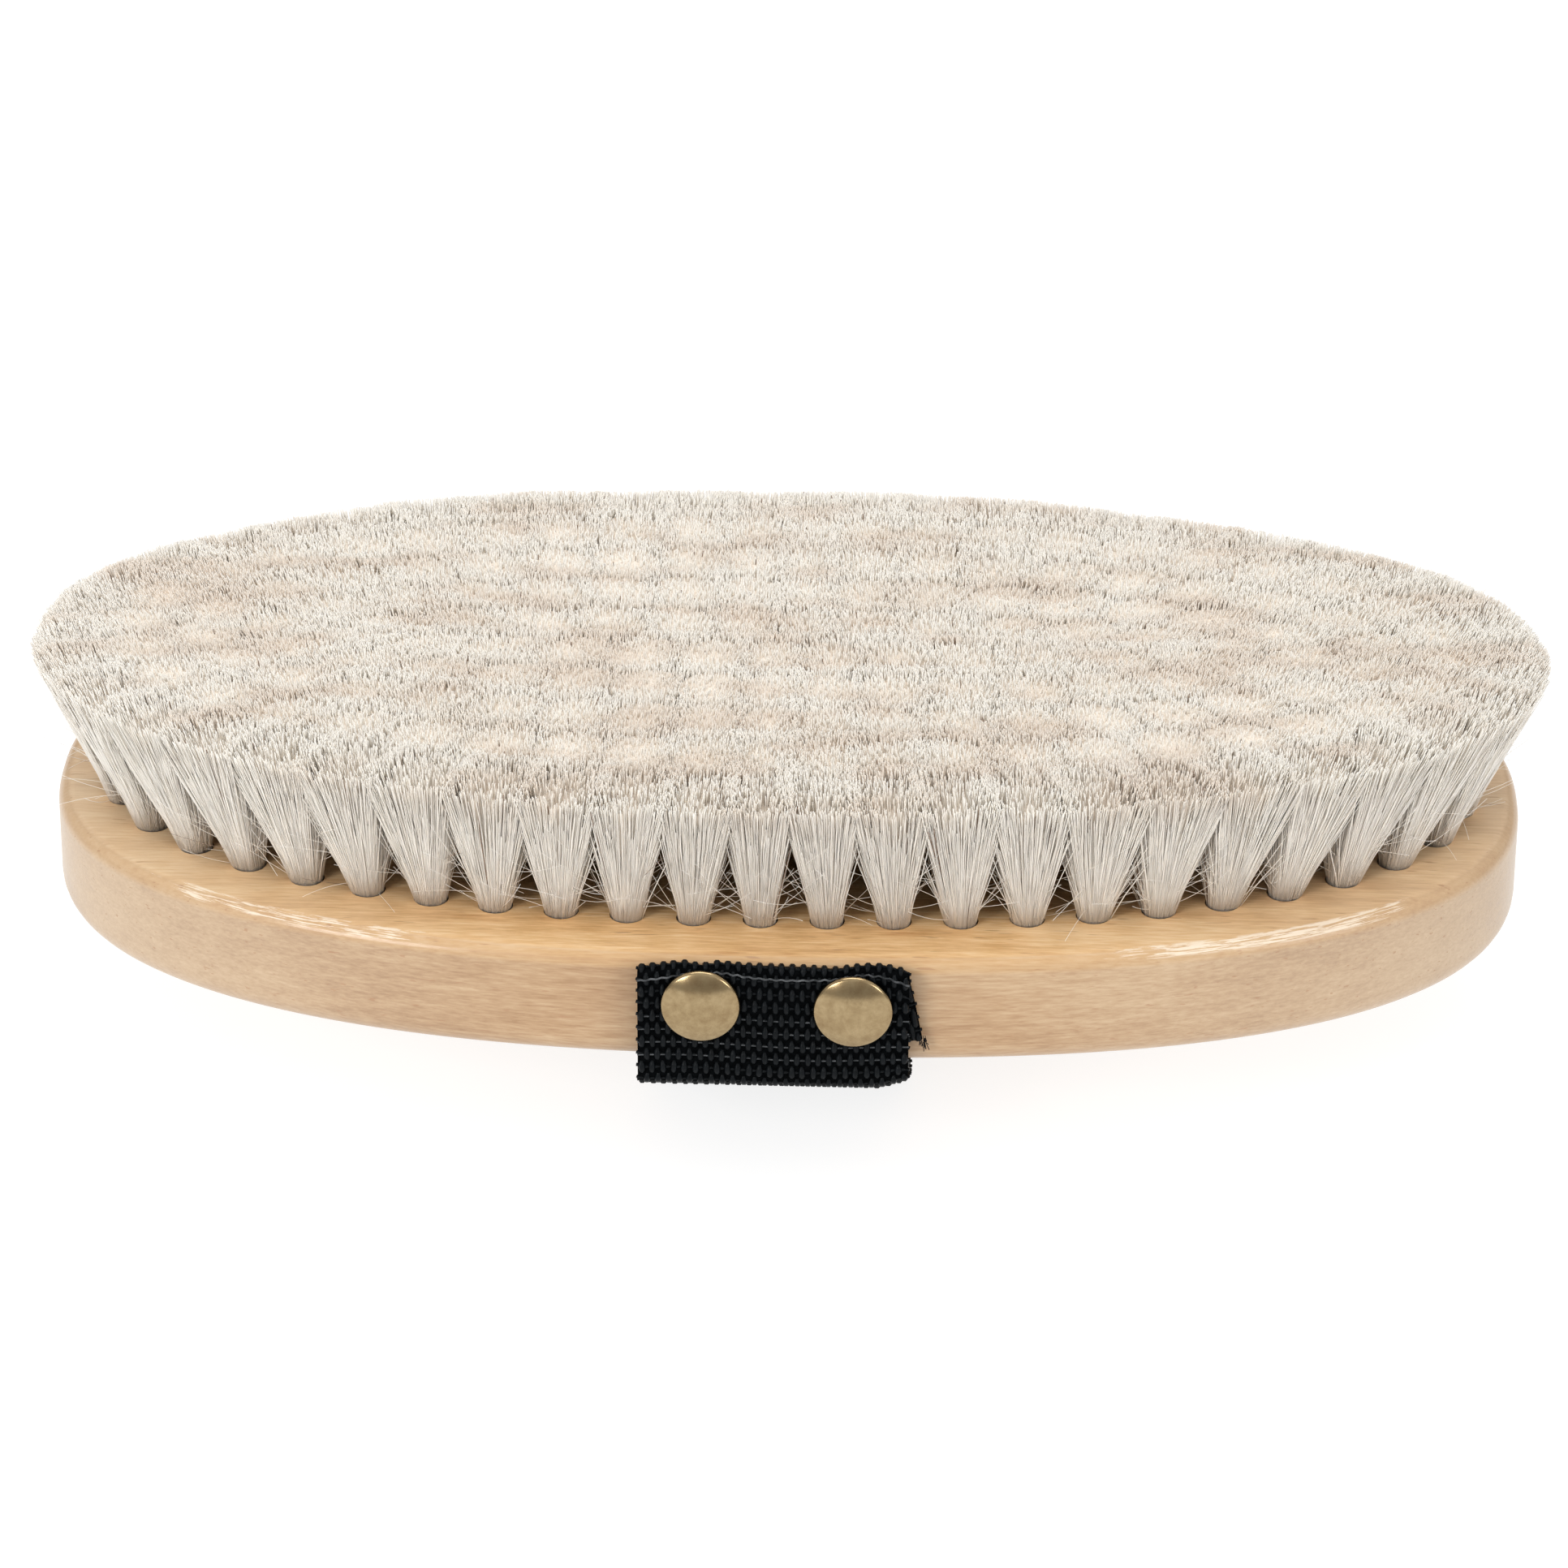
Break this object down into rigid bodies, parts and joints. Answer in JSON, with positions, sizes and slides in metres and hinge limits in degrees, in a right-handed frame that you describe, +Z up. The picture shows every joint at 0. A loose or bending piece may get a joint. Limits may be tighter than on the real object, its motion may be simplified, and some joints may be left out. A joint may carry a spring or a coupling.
{
  "type": "body dry brush",
  "caption": "Oval wooden body dry brush with tufts of soft cream hair, standing bristles up on a black webbing hand strap that is nailed to its sides.",
  "frame": {"origin": "on the floor, under the middle of the brush, where the flat stretch of the hand strap rests", "axes": "+X along the block's length, +Y across it towards the back, +Z up, out of the block's hair side"},
  "size_m": [0.2304, 0.1258, 0.0605],
  "materials": {
    "beech": "clear satin to gloss lacquer over pale beech",
    "goat_hair": "soft matt natural hair, cream with beige patches",
    "webbing": "matt black plain-woven webbing",
    "brass": "polished domed nail heads"
  },
  "bodies": {
    "root": {"block": "beech", "hand_strap": "webbing", "nail_front_left": "brass", "nail_front_right": "brass", "nail_back_left": "brass", "nail_back_right": "brass", "tuft_01": "goat_hair", "tuft_02": "goat_hair", "tuft_03": "goat_hair", "tuft_04": "goat_hair", "tuft_05": "goat_hair", "tuft_06": "goat_hair", "tuft_07": "goat_hair", "tuft_08": "goat_hair", "tuft_09": "goat_hair", "tuft_10": "goat_hair", "tuft_11": "goat_hair", "tuft_12": "goat_hair", "tuft_13": "goat_hair", "tuft_14": "goat_hair", "tuft_15": "goat_hair", "tuft_16": "goat_hair", "tuft_17": "goat_hair", "tuft_18": "goat_hair", "tuft_19": "goat_hair", "tuft_20": "goat_hair", "tuft_21": "goat_hair", "tuft_22": "goat_hair", "tuft_23": "goat_hair", "tuft_24": "goat_hair", "tuft_25": "goat_hair", "tuft_26": "goat_hair", "tuft_27": "goat_hair", "tuft_28": "goat_hair", "tuft_29": "goat_hair", "tuft_30": "goat_hair", "tuft_31": "goat_hair", "tuft_32": "goat_hair", "tuft_33": "goat_hair", "tuft_34": "goat_hair", "tuft_35": "goat_hair", "tuft_36": "goat_hair", "tuft_37": "goat_hair", "tuft_38": "goat_hair", "tuft_39": "goat_hair", "tuft_40": "goat_hair", "tuft_41": "goat_hair", "tuft_42": "goat_hair", "tuft_43": "goat_hair", "tuft_44": "goat_hair", "tuft_45": "goat_hair", "tuft_46": "goat_hair", "tuft_47": "goat_hair", "tuft_48": "goat_hair", "tuft_49": "goat_hair", "tuft_50": "goat_hair", "tuft_ring_2": "goat_hair", "tuft_ring_3": "goat_hair", "tuft_ring_4": "goat_hair", "tuft_ring_5": "goat_hair"}
  },
  "joints": []
}
